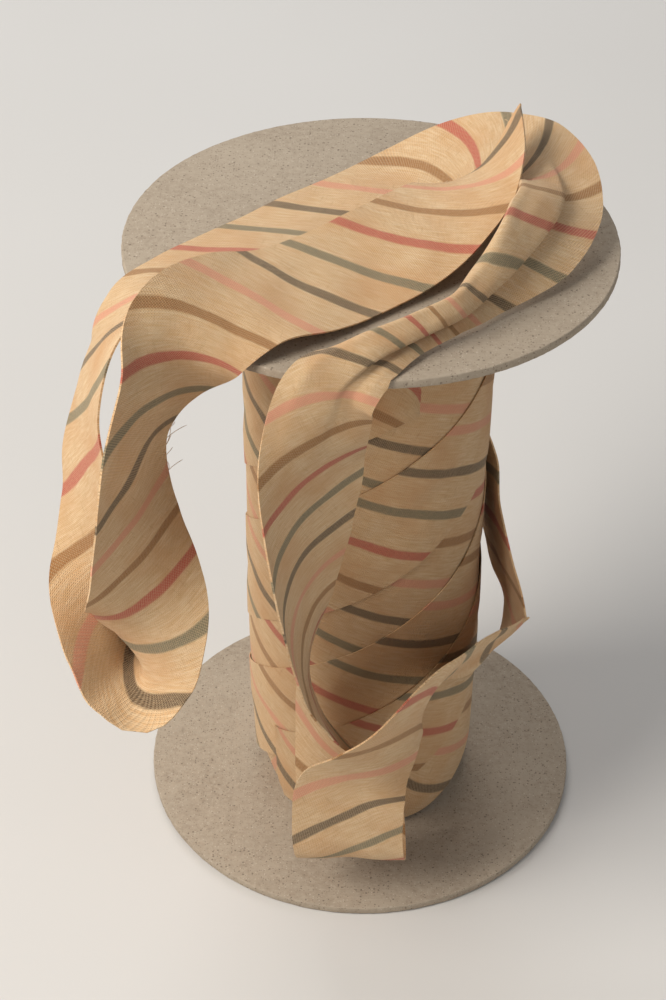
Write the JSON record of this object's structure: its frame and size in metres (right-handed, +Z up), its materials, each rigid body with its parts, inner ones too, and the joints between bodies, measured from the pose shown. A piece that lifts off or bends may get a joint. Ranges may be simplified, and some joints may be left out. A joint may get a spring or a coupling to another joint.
{
  "type": "reel of ribbon",
  "caption": "Paper-cored reel with round greyboard flanges, wound with striped cotton ribbon whose loose end hangs in loops over its rim.",
  "frame": {"origin": "on the reel's axis, at the underside of the bottom flange", "axes": "+Z up along the reel's axis, from the bottom flange to the top flange; -Y towards the side where the two loops hang; the left-hand loop hangs at -X"},
  "size_m": [0.0947, 0.1006, 0.1409],
  "materials": {
    "greyboard": "matt, speckled recycled board",
    "core_paper": "matt spiral-wound kraft paper",
    "paper_tape": "satin paper tape",
    "ribbon_cloth": "matt plain-woven cotton with slanting woven stripes"
  },
  "bodies": {
    "root": {"bottom_flange": "greyboard", "top_flange": "greyboard", "bottom_locating_disc": "greyboard", "top_locating_disc": "greyboard", "core_tube": "core_paper", "start_tape": "paper_tape", "wound_ribbon": "ribbon_cloth", "tail_front_loop_right": "ribbon_cloth", "tail_front_loop_left": "ribbon_cloth", "tail_front_drop": "ribbon_cloth", "tail_front_strip": "ribbon_cloth", "tail_rear_arch": "ribbon_cloth", "tail_rear_strip": "ribbon_cloth", "tail_left_drop": "ribbon_cloth", "tail_left_loop": "ribbon_cloth", "tail_left_rise": "ribbon_cloth", "tail_top_strip": "ribbon_cloth", "tail_free_end": "ribbon_cloth"}
  },
  "joints": []
}
